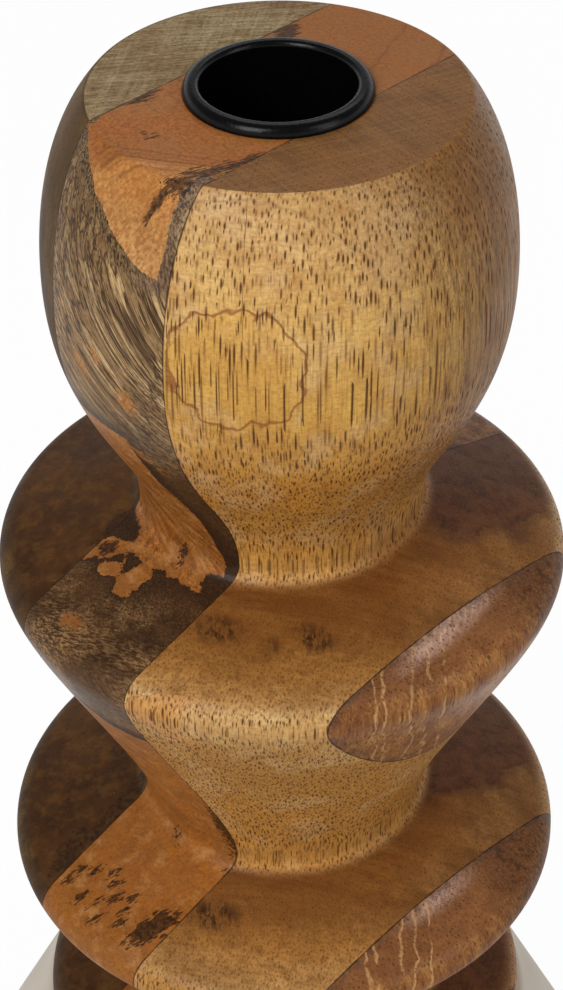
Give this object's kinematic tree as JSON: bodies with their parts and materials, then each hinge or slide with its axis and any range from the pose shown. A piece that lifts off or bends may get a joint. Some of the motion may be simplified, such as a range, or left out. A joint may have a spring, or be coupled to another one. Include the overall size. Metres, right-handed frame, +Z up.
{
  "type": "candlestick",
  "caption": "Turned candlestick of glued wooden boards on a painted conical foot, with a lift-out steel cup for one dinner candle.",
  "frame": {"origin": "under the middle of the felt pad, on the surface that the candlestick stands on", "axes": "+Z up along the turning axis; +X is the direction in which the boards are stacked, from the back board towards the edge blocks"},
  "size_m": [0.15, 0.15, 0.2618],
  "materials": {
    "wood_back": "satin lacquer over dark brown, grey-streaked hardwood",
    "wood_heart": "satin lacquer over orange hardwood with black spalt lines",
    "wood_front": "satin lacquer over golden hardwood with dark vessel marks",
    "wood_edge": "satin lacquer over reddish-brown hardwood with pale cracks",
    "foot_paint": "matt off-white paint on wood",
    "black_steel": "satin black powder coat",
    "zinc_steel": "bright zinc plating",
    "felt": "dark pressed felt"
  },
  "bodies": {
    "stand": {"board_back": "wood_back", "board_heart": "wood_heart", "board_front": "wood_front", "edge_block_lower": "wood_edge", "edge_block_middle": "wood_edge", "edge_block_upper": "wood_edge", "painted_foot": "foot_paint", "hanger_bolt": "zinc_steel", "washer": "zinc_steel", "nut": "zinc_steel", "felt_pad": "felt"},
    "cup": {"candle_cup": "black_steel"}
  },
  "joints": [
    {"name": "cup_lift", "type": "slide", "parent": "stand", "child": "cup", "axis": [0, 0, 1], "range_m": [0, 0.034]}
  ]
}
